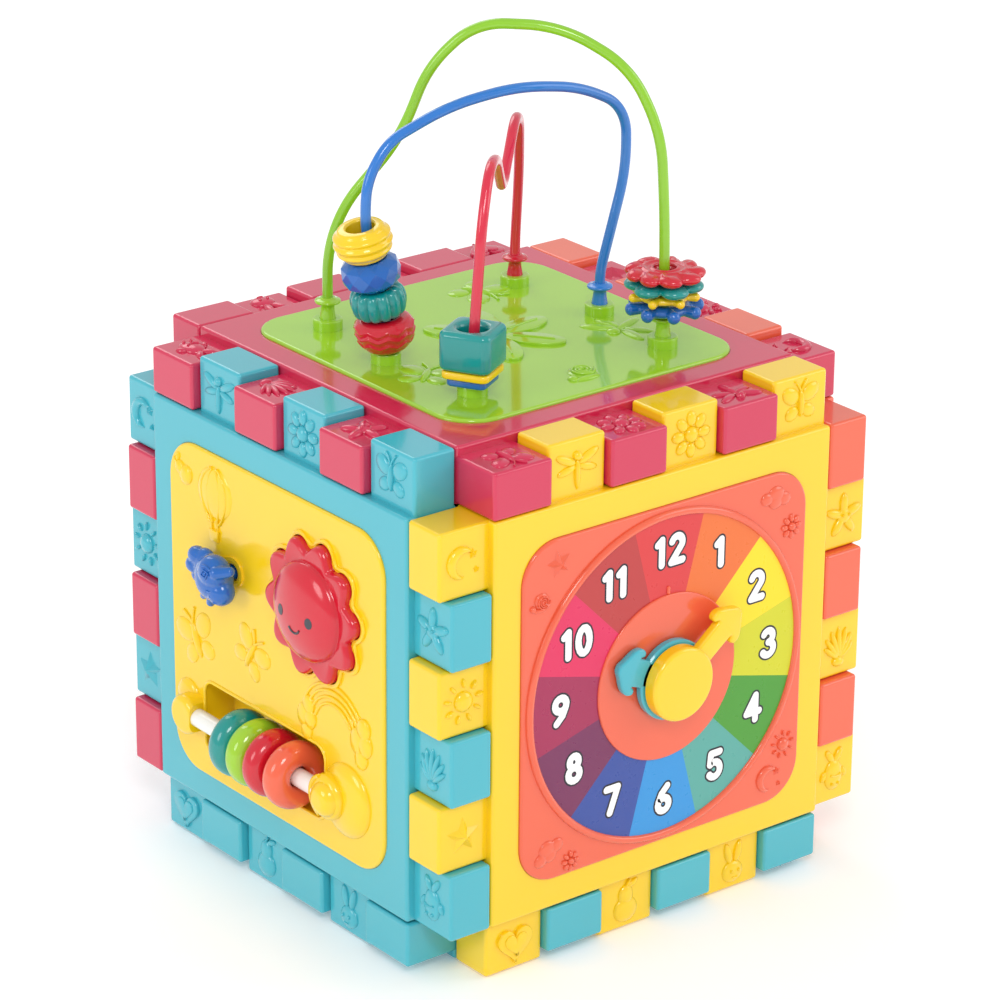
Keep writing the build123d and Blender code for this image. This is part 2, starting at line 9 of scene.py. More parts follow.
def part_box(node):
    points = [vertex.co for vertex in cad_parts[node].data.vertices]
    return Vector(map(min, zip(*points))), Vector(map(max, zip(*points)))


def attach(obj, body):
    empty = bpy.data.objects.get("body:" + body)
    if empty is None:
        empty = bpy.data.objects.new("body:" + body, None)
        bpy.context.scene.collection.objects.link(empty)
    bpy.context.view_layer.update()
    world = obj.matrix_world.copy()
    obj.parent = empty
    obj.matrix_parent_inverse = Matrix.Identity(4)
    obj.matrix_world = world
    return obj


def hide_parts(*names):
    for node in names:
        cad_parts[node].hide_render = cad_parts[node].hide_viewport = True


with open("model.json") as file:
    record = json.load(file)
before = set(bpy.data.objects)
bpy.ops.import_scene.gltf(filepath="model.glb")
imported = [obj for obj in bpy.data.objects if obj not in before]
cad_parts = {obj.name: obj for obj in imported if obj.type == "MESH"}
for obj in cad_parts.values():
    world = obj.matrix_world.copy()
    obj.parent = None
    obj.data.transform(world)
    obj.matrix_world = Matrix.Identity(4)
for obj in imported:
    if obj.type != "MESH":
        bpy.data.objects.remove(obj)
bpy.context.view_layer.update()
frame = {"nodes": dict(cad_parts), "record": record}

# Looks of the activity cube. A panel's own frame is in millimetres: u right, v up, w out of the cube,
# with its origin at the cube's centre.

MM = 0.001
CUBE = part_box("top_frame")[1].z                 # height of the cube's body
FACE = CUBE / 2 / MM                            # cube centre to a frame's face
TOP = FACE + 1.3                                # cube centre to an insert's face
FINGER_FACE = FACE - 3.6
PITCH = (2 * FACE - 46) / 6                     # width of one finger or one gap
FINGER_MIDDLE = 3 * PITCH + 11.4                # cube centre to the middle of a finger's outer face

PANELS = {
    "clock": (Vector((1, 0, 0)), Vector((0, -1, 0))),
    "abacus": (Vector((0, -1, 0)), Vector((-1, 0, 0))),
    "gear": (Vector((-1, 0, 0)), Vector((0, 1, 0))),
    "mirror": (Vector((0, 1, 0)), Vector((1, 0, 0))),
    "top": (Vector((-1, 0, 0)), Vector((0, 0, 1))),
    "base": (Vector((1, 0, 0)), Vector((0, 0, -1))),
}


def panel_matrix(panel):
    right, out = PANELS[panel]
    turn = Matrix((right, out.cross(right), out)).transposed().to_4x4()
    return Matrix.Translation((0, 0, CUBE / 2)) @ turn @ Matrix.Scale(MM, 4)


def shift(u=0.0, v=0.0, w=0.0, turn=0.0, size=1.0):
    """Place in a panel's plane: scaled, turned by degrees about w, then moved."""
    return Matrix.Translation((u, v, w)) @ Matrix.Rotation(math.radians(turn), 4, "Z") @ Matrix.Scale(size, 4)


def polar(radius, degrees):
    return radius * math.cos(math.radians(degrees)), radius * math.sin(math.radians(degrees))


# ---------------------------------------------------------------- materials
def linear(rgb):
    def one(c):
        c /= 255
        return c / 12.92 if c <= 0.04045 else ((c + 0.055) / 1.055) ** 2.4
    return [one(c) for c in rgb]


def node_tree(name):
    material = bpy.data.materials.new(name)
    material.use_nodes = True
    return material, material.node_tree, material.node_tree.nodes["Principled BSDF"]


def noise(tree, scale, detail=3.0):
    place = tree.nodes.get("Texture Coordinate") or tree.nodes.new("ShaderNodeTexCoord")
    made = tree.nodes.new("ShaderNodeTexNoise")
    made.inputs["Scale"].default_value = scale
    made.inputs["Detail"].default_value = detail
    tree.links.new(place.outputs["Object"], made.inputs["Vector"])
    return made.outputs["Fac"]


def spread(tree, source, low, high):
    made = tree.nodes.new("ShaderNodeMapRange")
    made.inputs["From Min"].default_value = 0.3
    made.inputs["From Max"].default_value = 0.7
    made.inputs["To Min"].default_value = low
    made.inputs["To Max"].default_value = high
    tree.links.new(source, made.inputs["Value"])
    return made.outputs["Result"]


def tinted(tree, shader, rgb, scale, amount):
    """Slow drift of the colour about its value, as pigment mixed into the plastic gives."""
    mix = tree.nodes.new("ShaderNodeMix")
    mix.data_type = "RGBA"
    base = linear(rgb)
    mix.inputs["A"].default_value = [max(c * (1 - amount), 0) for c in base] + [1]
    mix.inputs["B"].default_value = [min(c * (1 + amount), 1) for c in base] + [1]
    tree.links.new(noise(tree, scale), mix.inputs["Factor"])
    tree.links.new(mix.outputs["Result"], shader.inputs["Base Color"])


def bumped(tree, shader, source, strength, distance):
    bump = tree.nodes.new("ShaderNodeBump")
    bump.inputs["Strength"].default_value = strength
    bump.inputs["Distance"].default_value = distance
    tree.links.new(source, bump.inputs["Height"])
    tree.links.new(bump.outputs["Normal"], shader.inputs["Normal"])


def plastic(name, rgb, rough=0.17, ripple=0.05):
    """Glossy injection-moulded plastic: faint flow ripple, uneven polish, a clear skin."""
    material, tree, shader = node_tree(name)
    tinted(tree, shader, rgb, 9.0, 0.05)
    tree.links.new(spread(tree, noise(tree, 60.0), rough * 0.8, rough * 1.3), shader.inputs["Roughness"])
    shader.inputs["Coat Weight"].default_value = 0.5
    shader.inputs["Coat Roughness"].default_value = 0.05
    bumped(tree, shader, noise(tree, 110.0, 2.0), ripple, 0.0004)
    return material


def print_ink(name, rgb):
    """Glossy printed card, its gloss a little uneven."""
    material, tree, shader = node_tree(name)
    tinted(tree, shader, rgb, 1400.0, 0.01)
    tree.links.new(spread(tree, noise(tree, 300.0), 0.26, 0.4), shader.inputs["Roughness"])
    return material


def coated_wire(name, rgb):
    """Steel wire with a thick glossy colour coating that ripples slightly."""
    material, tree, shader = node_tree(name)
    tinted(tree, shader, rgb, 30.0, 0.07)
    tree.links.new(spread(tree, noise(tree, 90.0), 0.14, 0.26), shader.inputs["Roughness"])
    shader.inputs["Coat Weight"].default_value = 0.6
    shader.inputs["Coat Roughness"].default_value = 0.06
    bumped(tree, shader, noise(tree, 220.0), 0.12, 0.0003)
    return material


def metal(name, rgb, rough):
    material, tree, shader = node_tree(name)
    tinted(tree, shader, rgb, 80.0, 0.1)
    shader.inputs["Metallic"].default_value = 1.0
    tree.links.new(spread(tree, noise(tree, 250.0), rough * 0.7, rough * 1.4), shader.inputs["Roughness"])
    bumped(tree, shader, noise(tree, 800.0), 0.05, 0.0001)
    return material


def rubber(name, rgb):
    material, tree, shader = node_tree(name)
    tinted(tree, shader, rgb, 40.0, 0.08)
    tree.links.new(spread(tree, noise(tree, 300.0), 0.6, 0.8), shader.inputs["Roughness"])
    bumped(tree, shader, noise(tree, 900.0), 0.15, 0.0002)
    return material


MATERIALS = {
    "pink": plastic("pink", (208, 40, 80)),
    "teal": plastic("teal", (68, 180, 196)),
    "yellow": plastic("yellow", (249, 207, 22)),
    "orange": plastic("orange", (238, 100, 68)),
    "green": plastic("green", (158, 208, 44), rough=0.1, ripple=0.02),
    "red": plastic("red", (208, 18, 44)),
    "blue": plastic("blue", (12, 98, 186)),
    "white": plastic("white", (244, 244, 240)),
    "green_wire": coated_wire("green_wire", (140, 200, 32)),
    "blue_wire": coated_wire("blue_wire", (30, 118, 205)),
    "red_wire": coated_wire("red_wire", (216, 30, 62)),
    "steel": metal("steel", (190, 190, 192), 0.3),
    "soft_rubber": rubber("soft_rubber", (235, 225, 205)),
    "mirror": metal("mirror", (235, 236, 238), 0.02),
    "foot_blue": plastic("foot_blue", (40, 125, 210)),
    "bead_teal": plastic("bead_teal", (8, 146, 142)),
    "ink_dark": print_ink("ink_dark", (28, 28, 42)),
    "ink_white": print_ink("ink_white", (250, 250, 250)),
    "face_grey": print_ink("face_grey", (62, 66, 74)),
}
SLOT_LOOKS = {"dial_print": "ink_white"}
NODE_LOOKS = {"teal_ring": "bead_teal"}

for entry in frame["record"]["subparts"]:
    look = NODE_LOOKS.get(entry["node"], SLOT_LOOKS.get(entry["material_slot"], entry["material_slot"]))
    mesh = frame["nodes"][entry["node"]].data
    mesh.materials.clear()
    mesh.materials.append(MATERIALS[look])


# ---------------------------------------------------------------- building meshes
class Shape:
    """Vertices and faces gathered in a panel's millimetres, with a material number per face."""

    def __init__(self):
        self.verts, self.faces, self.marks = [], [], []

    def add(self, made, place=None, mark=0):
        verts, faces = made
        start = len(self.verts)
        for v in verts:
            self.verts.append(place @ Vector(v) if place else Vector(v))
        self.faces += [[start + i for i in f] for f in faces]
        self.marks += [mark] * len(faces)
        return self


def piece(name, shape, looks, body, matrix, replaces=(), crease=40.0):
    """Make an object of a shape, put it in place, and let it ride on its body."""
    mesh = bpy.data.meshes.new(name)
    mesh.from_pydata([matrix @ v for v in shape.verts], [], shape.faces)
    for look in looks if isinstance(looks, (list, tuple)) else [looks]:
        mesh.materials.append(MATERIALS[look])
    mesh.polygons.foreach_set("material_index", shape.marks)
    tidy = bmesh.new()
    tidy.from_mesh(mesh)
    bmesh.ops.recalc_face_normals(tidy, faces=tidy.faces)
    tidy.to_mesh(mesh)
    tidy.free()
    mesh.shade_smooth()
    mesh.set_sharp_from_angle(angle=math.radians(crease))
    made = bpy.data.objects.new(name, mesh)
    bpy.context.scene.collection.objects.link(made)
    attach(made, body)
    if replaces:
        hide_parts(*replaces)
    return made


def rings(points, closed_rows=False, caps=True):
    """Skin over a list of closed rings of points; caps close the first and the last ring."""
    count = len(points[0])
    verts = [p for ring in points for p in ring]
    faces = []
    rows = len(points) if closed_rows else len(points) - 1
    for i in range(rows):
        a, b = i * count, (i + 1) % len(points) * count
        for j in range(count):
            k = (j + 1) % count
            faces.append([a + j, a + k, b + k, b + j])
    if caps and not closed_rows:
        faces.append(list(range(count))[::-1])
        faces.append([len(verts) - count + j for j in range(count)])
    return verts, faces


def lathe(profile, count=64, warp=None, closed=True):
    """Turn (radius, height) points about w; warp(angle, r, h) may move each point."""
    made = []
    for r, h in profile:
        ring = []
        for j in range(count):
            a = 2 * math.pi * j / count
            rr, hh = warp(a, r, h) if warp else (r, h)
            ring.append((rr * math.cos(a), rr * math.sin(a), hh))
        made.append(ring)
    return rings(made, closed_rows=closed, caps=not closed)


def dome(rx, ry, height, count=20, steps=6, sink=0.3):
    """Low rounded mound on a flat face."""
    made = [[(rx * math.cos(a), ry * math.sin(a), -sink) for a in angles(count)]]
    for i in range(steps):
        tilt = math.pi / 2 * i / steps
        made.append([
            (rx * math.cos(tilt) * math.cos(a), ry * math.cos(tilt) * math.sin(a), height * math.sin(tilt))
            for a in angles(count)
        ])
    return rings(made)


def angles(count):
    return [2 * math.pi * j / count for j in range(count)]


def star_points(count, outer, inner, start=90.0):
    return [polar(outer if i % 2 == 0 else inner, start + 180 * i / count) for i in range(2 * count)]


def facet_star(count, outer, inner, height):
    """Star with a ridge along each arm, as folded from paper."""
    rim = star_points(count, outer, inner)
    verts = [(x, y, -0.2) for x, y in rim] + [(0, 0, height)]
    faces = [[i, (i + 1) % len(rim), len(rim)] for i in range(len(rim))]
    faces.append(list(range(len(rim)))[::-1])
    return verts, faces


def curve_mesh(lines, **settings):
    """Mesh of a Blender curve through lists of points; each line is (points, kind, closed)."""
    curve = bpy.data.curves.new("outline", "CURVE")
    for key, value in settings.items():
        setattr(curve, key, value)
    for points, kind, closed in lines:
        spline = curve.splines.new(kind)
        spline.points.add(len(points) - 1)
        for spot, p in zip(spline.points, points):
            spot.co = (*p, 0.0, 1.0) if len(p) == 2 else (*p, 1.0)
        if kind == "NURBS":
            spline.order_u = min(4, len(points))
            spline.use_endpoint_u = not closed
            spline.resolution_u = 6
        spline.use_cyclic_u = closed
    holder = bpy.data.objects.new("outline", curve)
    bpy.context.scene.collection.objects.link(holder)
    mesh = bpy.data.meshes.new_from_object(holder)
    made = [tuple(v.co) for v in mesh.vertices], [list(p.vertices) for p in mesh.polygons]
    bpy.data.objects.remove(holder)
    bpy.data.curves.remove(curve)
    bpy.data.meshes.remove(mesh)
    return made


def plate(outlines, low, high, edge=0.8, kind="POLY"):
    """Plate with rounded edges between two heights; an outline inside another is a hole."""
    verts, faces = curve_mesh(
        [(o, kind, True) for o in outlines], dimensions="2D", fill_mode="BOTH", offset=-edge,
        extrude=max((high - low) / 2 - edge, 0), bevel_depth=edge, bevel_resolution=3,
    )
    return welded([(x, y, z + (low + high) / 2) for x, y, z in verts], faces)


def strand(points, radius, closed=False, kind="NURBS", flat=1.0):
    """Round bead of plastic along a line; flat under 1 presses it down."""
    verts, faces = curve_mesh(
        [(points, kind, closed)], dimensions="3D", bevel_depth=radius, bevel_resolution=4, use_fill_caps=True,
    )
    return welded([(x, y, z * flat) for x, y, z in verts], faces)


def round_line(points, radius, closed=False, flat=1.0):
    """As strand, along straight runs, with a ball at each corner and end."""
    made = Shape().add(strand(points, radius, closed, "POLY", flat))
    for x, y in points:
        made.add(ellipsoid((radius, radius, radius * flat)), Matrix.Translation((x, y, 0)))
    return made.verts, made.faces


def welded(verts, faces):
    made = bmesh.new()
    spots = [made.verts.new(v) for v in verts]
    for f in faces:
        made.faces.new([spots[i] for i in f])
    bmesh.ops.remove_doubles(made, verts=made.verts, dist=0.002)
    made.verts.index_update()
    result = [tuple(v.co) for v in made.verts], [[v.index for v in f.verts] for f in made.faces]
    made.free()
    return result


def ellipsoid(radii, count=16, steps=10):
    rows = []
    for i in range(steps + 1):
        tilt = -math.pi / 2 + math.pi * (i + 0.02 * (1 - 2 * i / steps)) / steps
        rows.append([
            (radii[0] * math.cos(tilt) * math.cos(a), radii[1] * math.cos(tilt) * math.sin(a),
             radii[2] * math.sin(tilt)) for a in angles(count)
        ])
    return rings(rows)


def capsule(start, end, radius, end_radius=None):
    """Rod with ball ends between two points, as rings about its axis."""
    end_radius = end_radius or radius
    a, b = Vector(start), Vector(end)
    way = b - a
    turn = way.to_track_quat("Z", "Y").to_matrix().to_4x4()
    rows = []
    for i in range(9):
        tilt = -math.pi / 2 + math.pi * (i + 0.05) / 8.1
        r = radius if i < 4.5 else end_radius
        base = 0.0 if i < 4.5 else way.length
        rows.append([
            (r * math.cos(tilt) * math.cos(t), r * math.cos(tilt) * math.sin(t), base + r * math.sin(tilt))
            for t in angles(14)
        ])
    verts, faces = rings(rows)
    place = Matrix.Translation(a) @ turn
    return [tuple(place @ Vector(v)) for v in verts], faces


def melted(shape, voxel, smooth):
    """Join overlapping closed shapes into one soft skin."""
    mesh = bpy.data.meshes.new("melted")
    mesh.from_pydata(shape.verts, [], shape.faces)
    holder = bpy.data.objects.new("melted", mesh)
    bpy.context.scene.collection.objects.link(holder)
    join = holder.modifiers.new("join", "REMESH")
    join.mode, join.voxel_size = "VOXEL", voxel
    soften = holder.modifiers.new("soften", "SMOOTH")
    soften.factor, soften.iterations = 0.5, smooth
    seen = holder.evaluated_get(bpy.context.evaluated_depsgraph_get())
    result = bpy.data.meshes.new_from_object(seen)
    made = [tuple(v.co) for v in result.vertices], [list(p.vertices) for p in result.polygons]
    bpy.data.objects.remove(holder)
    bpy.data.meshes.remove(mesh)
    bpy.data.meshes.remove(result)
    return made


# ---------------------------------------------------------------- relief motifs, most about 17 mm across
def petals(shape, count, at, rx, ry, height):
    """Mounds set round a centre, each pointing outwards."""
    for i in range(count):
        angle = 90 + 360 * i / count
        shape.add(dome(rx, ry, height), shift(*polar(at, angle), turn=angle))


def motif_dragonfly():
    shape = Shape().add(dome(1.2, 5.6, 1.0), shift(0, -2.6)).add(dome(1.9, 1.7, 1.2), shift(0, 4.2))
    for side in (-1, 1):
        shape.add(dome(4.8, 1.7, 0.8), shift(side * 5.0, 3.3, turn=side * 24))
        shape.add(dome(4.3, 1.5, 0.7), shift(side * 4.6, -0.6, turn=side * -14))
    return shape


def motif_flower():
    shape = Shape()
    petals(shape, 8, 5.9, 2.9, 2.1, 0.9)
    return shape.add(dome(3.0, 3.0, 1.4))


def motif_butterfly():
    shape = Shape().add(dome(1.2, 5.2, 1.2))
    for side in (-1, 1):
        shape.add(dome(4.3, 3.2, 0.8), shift(side * 4.6, 3.4, turn=side * 32))
        shape.add(dome(3.3, 2.6, 0.7), shift(side * 3.9, -3.4, turn=side * -30))
        shape.add(strand([(0, 4.5, 0.2), (side * 1.2, 7.0, 0.2), (side * 2.8, 8.6, 0.2)], 0.4))
    return shape


def motif_starfish():
    shape = Shape().add(dome(3.2, 3.2, 1.2))
    petals(shape, 5, 4.4, 4.4, 1.9, 1.0)
    for side in (-1, 1):
        shape.add(dome(0.7, 0.7, 0.8, count=10), shift(side * 1.4, 0.6, 0.9))
    return shape


def motif_shell():
    shape = Shape().add(dome(2.8, 2.0, 1.1), shift(0, -6.8))
    for i in range(7):
        lean = 24 * (i - 3) * 0.72
        reach = 6.3 - 0.22 * (i - 3) ** 2
        x, y = polar(reach, 90 - lean)
        shape.add(dome(1.25, reach, 1.0), shift(x, y - 5.6, turn=-lean))
    return shape


def motif_fish():
    shape = Shape().add(dome(4.4, 6.2, 1.2), shift(0, -1.8))
    for side in (-1, 1):
        shape.add(dome(1.5, 3.2, 0.9), shift(side * 2.0, 6.0, turn=-side * 34))
        shape.add(dome(1.2, 2.2, 0.8), shift(side * 5.0, -1.6, turn=side * 24))
        shape.add(dome(0.7, 0.7, 0.8, count=10), shift(side * 1.5, -5.0, 0.8))
    shape.add(strand([(-2.4, -1.2, 1.0), (0, -2.4, 1.2), (2.4, -1.2, 1.0)], 0.4))
    return shape


def heart_points(size):
    made = []
    for t in angles(40):
        x = 16 * math.sin(t) ** 3
        y = 13 * math.cos(t) - 5 * math.cos(2 * t) - 2 * math.cos(3 * t) - math.cos(4 * t)
        made.append((x * size / 16, y * size / 16))
    return made


def motif_heart():
    shape = Shape().add(plate([heart_points(7.6)], -0.4, 0.9, 0.5))
    return shape.add(plate([heart_points(5.0)], 0.4, 1.3, 0.4), shift(0, 0.2))


def motif_pear():
    shape = Shape().add(dome(5.4, 5.0, 1.2), shift(0, -3.0)).add(dome(3.4, 4.2, 1.1), shift(0, 2.6))
    shape.add(strand([(0, 5.6, 0.3), (0.5, 7.4, 0.3), (1.8, 8.6, 0.3)], 0.5))
    return shape.add(dome(2.6, 1.2, 0.8), shift(3.2, 6.8, turn=24))


def motif_bunny():
    shape = Shape().add(dome(4.9, 4.4, 1.2), shift(0, -3.6))
    for side in (-1, 1):
        shape.add(dome(1.7, 4.4, 1.0), shift(side * 2.3, 4.0, turn=-side * 14))
        shape.add(dome(0.6, 0.8, 0.7, count=10), shift(side * 1.7, -2.8, 1.0))
    shape.add(strand([(-1.2, -5.2, 1.0), (0, -6.0, 1.0), (1.2, -5.2, 1.0)], 0.35))
    return shape


def tapered_arc(radius, start, end, width, height):
    """Ridge along an arc that thins out to a point at both ends."""
    rows = []
    for i in range(17):
        a = math.radians(start + (end - start) * i / 16)
        half = 0.1 + width * math.sin(math.pi * i / 16)
        rows.append([
            ((radius + half * math.cos(t)) * math.cos(a), (radius + half * math.cos(t)) * math.sin(a),
             height * math.sin(t) * min(half, 1)) for t in angles(14)
        ])
    return rings(rows)


def motif_moon():
    shape = Shape().add(tapered_arc(5.0, 60, 300, 1.9, 1.1), shift(-0.4, 0, turn=-24))
    shape.add(facet_star(5, 2.5, 1.1, 1.0), shift(3.8, 2.6))
    return shape.add(facet_star(5, 1.7, 0.8, 0.9), shift(5.2, -3.4))


def motif_sun():
    shape = Shape().add(dome(3.9, 3.9, 1.4))
    for i in range(9):
        angle = 90 + 40 * i
        shape.add(dome(1.7, 0.75, 0.9, count=12), shift(*polar(6.8, angle), turn=angle))
    return shape


def motif_star():
    return Shape().add(facet_star(5, 8.2, 3.7, 1.7))


def motif_cloud():
    shape = Shape()
    for x, y, r in ((-4.4, -0.6, 3.0), (0, 1.2, 4.0), (4.2, -0.4, 3.2), (0, -1.6, 3.4)):
        shape.add(dome(r, r * 0.86, 0.9), shift(x, y))
    return shape


def motif_snail():
    spiral = [(*polar(0.8 + 4.6 * i / 20, 54 * i), 0.7) for i in range(21)]
    shape = Shape().add(dome(5.6, 5.6, 0.8)).add(strand(spiral, 0.5))
    shape.add(dome(5.6, 1.7, 0.8), shift(-2.0, -5.4)).add(dome(2.0, 2.2, 1.0), shift(-7.2, -3.6))
    return shape


def motif_balloon():
    shape = Shape().add(dome(11.6, 10.8, 0.9, count=36))
    for x in (-10.6, -5.0, 5.0, 10.6):
        seam = [(x * 0.2, 10.6, 0.2), (x, 5.0, 0.4), (x * 0.95, -4.0, 0.3), (x * 0.3, -12.4, 0.2)]
        shape.add(strand(seam, 0.55))
    for x in (-2.2, 2.2):
        shape.add(strand([(x, -11.6, 0.2), (x * 0.9, -15.6, 0.2)], 0.45))
    box = [(-3.2, -15.4), (3.2, -15.4), (2.5, -20.0), (-2.5, -20.0)]
    return shape.add(plate([box], -0.4, 0.9, 0.4))


def motif_rainbow():
    shape = Shape()
    for radius in (10.0, 12.2, 14.4, 16.6):
        arc = [(*polar(radius, a), 0.1) for a in range(28, 165, 11)]
        shape.add(strand(arc, 0.55))
    for x, y, size in ((-14.0, 1.0, 1.05), (14.4, 2.2, 1.2)):
        cloud = motif_cloud()
        shape.add((cloud.verts, cloud.faces), shift(x, y, 0.2, 82, size))
    return shape


def motif_bloom():
    """Large flower with long low petals."""
    shape = Shape()
    for i in range(6):
        angle = 8 + 60 * i
        petal = [polar_ellipse(12.6, 6.2, t) for t in range(0, 360, 12)]
        shape.add(plate([petal], -0.4, 0.85, 0.4), shift(*polar(16.6, angle), turn=angle))
        vein = [(-9.0, 0, 0.8), (0, 0.8, 0.8), (8.0, 0, 0.8)]
        shape.add(strand(vein, 0.45), shift(*polar(16.6, angle), turn=angle))
    return shape.add(dome(4.2, 4.2, 1.4))


def polar_ellipse(rx, ry, degrees):
    return rx * math.cos(math.radians(degrees)), ry * math.sin(math.radians(degrees))


FINGER_MOTIFS = {
    # place of the finger on its edge, clockwise from the edge's left end
    "top": ((1, motif_dragonfly), (3, motif_flower), (5, motif_butterfly)),
    "right": ((1, motif_starfish), (3, motif_shell), (5, motif_fish)),
    "bottom": ((5, motif_heart), (3, motif_pear), (1, motif_bunny)),
    "left": ((5, motif_moon), (3, motif_sun), (1, motif_star)),
}


FINGER_SIZE = Matrix.Diagonal((1.1, 1.1, 1.7, 1))       # a motif's width and height on a finger
INSERT_RELIEF = 1.4                                      # its height on an insert


def finger_reliefs(panel, look):
    shape = Shape()
    for quarter, edge in enumerate(FINGER_MOTIFS):
        turn = Matrix.Rotation(math.radians(-90 * quarter), 4, "Z")
        for place, motif in FINGER_MOTIFS[edge]:
            at = turn @ Vector(((place + 0.5) * PITCH - 3 * PITCH, FINGER_MIDDLE, FINGER_FACE))
            made = motif()
            shape.add((made.verts, made.faces), Matrix.Translation(at) @ FINGER_SIZE)
    piece(f"{panel}_finger_reliefs", shape, look, f"{panel}_panel", panel_matrix(panel))


def insert_reliefs(panel, look, motifs):
    """Motifs on a panel's insert: (motif, u, v, turn, size)."""
    shape = Shape()
    for motif, u, v, turn, size in motifs:
        made = motif()
        scale = Matrix.Diagonal((size, size, INSERT_RELIEF, 1))
        shape.add((made.verts, made.faces), shift(u, v, TOP, turn) @ scale)
    piece(f"{panel}_insert_reliefs", shape, look, f"{panel}_panel", panel_matrix(panel))


FRAME_LOOKS = {
    "clock": "yellow", "abacus": "teal", "gear": "pink", "mirror": "orange", "top": "pink", "base": "teal",
}
for panel, look in FRAME_LOOKS.items():
    finger_reliefs(panel, look)

insert_reliefs("clock", "orange", [
    (motif_snail, -62.0, 47.5, 0, 0.62), (motif_star, -54.0, 61.0, 12, 0.82),
    (motif_cloud, 54.5, 61.0, -10, 1.05), (motif_flower, 63.0, 47.0, 0, 0.6),
    (motif_sun, 62.5, -47.0, 0, 0.72), (motif_moon, 56.0, -60.5, 0, 0.95),
    (motif_cloud, -57.5, -58.5, 30, 1.05), (motif_flower, -46.5, -65.5, 0, 0.5),
])
insert_reliefs("abacus", "yellow", [
    (motif_balloon, -39.2, 55.0, 0, 1.0), (motif_pear, -61.0, 58.0, 60, 0.8),
    (motif_butterfly, -53.5, -12.5, 24, 1.5), (motif_butterfly, -16.1, -6.0, -30, 1.35),
    (motif_rainbow, 39.0, -20.0, 0, 1.25),
])
insert_reliefs("top", "green", [
    (motif_bloom, 0, 0, 0, 1.0), (motif_butterfly, -27.6, -46.6, 20, 1.5),
    (motif_dragonfly, -47.2, 22.2, -70, 1.6), (motif_snail, -1.8, 52.8, 180, 1.1),
    (motif_butterfly, 48.7, 19.1, 130, 1.4),
])
insert_reliefs("gear", "teal", [
    (motif_sun, 52.0, 54.0, 0, 1.1), (motif_cloud, -54.0, -44.0, 0, 1.3), (motif_star, 52.0, -46.0, 0, 1.0),
    (motif_flower, -20.0, -58.0, 0, 0.9),
])
insert_reliefs("mirror", "green", [
    (motif_heart, -58.0, 58.0, 0, 0.8), (motif_star, 58.0, 58.0, 0, 0.8), (motif_flower, 58.0, -58.0, 0, 0.8),
    (motif_moon, -58.0, -58.0, 0, 0.8),
])


# ---------------------------------------------------------------- clock
DIAL_R, DISC_R = 66.3, 34.5
CARD_TOP = TOP + 0.35
HUB_R, KNOB_R = 16.5, 15.2              # hour hand's hub, minute hand's knob
HOUR_TURN, MINUTE_TURN = 67.0, -52.0    # degrees turned left from twelve
HOURS = [
    (219, 60, 62), (235, 115, 50), (255, 220, 30), (210, 210, 35), (75, 155, 50), (90, 170, 160),
    (50, 150, 220), (55, 80, 160), (120, 45, 90), (165, 40, 85), (225, 45, 95), (190, 60, 60),
]


def arc(cx, cy, rx, ry, start, end, steps=14):
    made = []
    for i in range(steps + 1):
        x, y = polar_ellipse(rx, ry, start + (end - start) * i / steps)
        made.append((cx + x, cy + y))
    return made


DIGITS = {
    "0": [arc(0, 0, 2.5, 4.7, 0, 348)],
    "1": [[(-1.7, 3.2), (0.2, 4.7), (0.2, -4.7)]],
    "2": [arc(0, 2.2, 2.4, 2.5, 160, -28) + [(-2.5, -4.7), (2.6, -4.7)]],
    "3": [arc(-0.1, 2.45, 2.2, 2.25, 150, -80), arc(-0.1, -2.2, 2.6, 2.5, 84, -150)],
    "4": [[(1.3, -4.7), (1.3, 4.7), (-2.9, -1.8), (3.1, -1.8)]],
    "5": [[(2.3, 4.7), (-1.8, 4.7), (-2.2, 0.6)], arc(-0.2, -1.8, 2.7, 2.9, 130, -145)],
    "6": [[(1.7, 4.7), (-0.9, 2.2), (-2.3, -0.9)], arc(0, -2.2, 2.5, 2.5, 170, -180)],
    "7": [[(-2.5, 4.7), (2.6, 4.7), (-0.9, -4.7)]],
    "8": [arc(0, 2.5, 2.0, 2.2, 0, 348), arc(0, -2.2, 2.5, 2.5, 0, 348)],
    "9": [[(-1.7, -4.7), (0.9, -2.2), (2.3, 0.9)], arc(0, 2.2, 2.5, 2.5, 10, 360)],
}


def flat_line(points, radius):
    """Flat printed stroke: a disc at each point and a strip between, each a hair above the last."""
    shape = Shape()
    for i, (x, y) in enumerate(points):
        rim = [(x + radius * math.cos(a), y + radius * math.sin(a), 0) for a in angles(28)]
        shape.add((rim, [list(range(28))]), shift(w=0.0015 * i))
    for i, ((x0, y0), (x1, y1)) in enumerate(zip(points, points[1:])):
        long = math.hypot(x1 - x0, y1 - y0)
        du, dv = -(y1 - y0) / long * radius, (x1 - x0) / long * radius
        strip = [(x0 + du, y0 + dv, 0), (x0 - du, y0 - dv, 0), (x1 - du, y1 - dv, 0), (x1 + du, y1 + dv, 0)]
        shape.add((strip, [[0, 1, 2, 3]]), shift(w=0.0008 + 0.0015 * i))
    return shape.verts, shape.faces


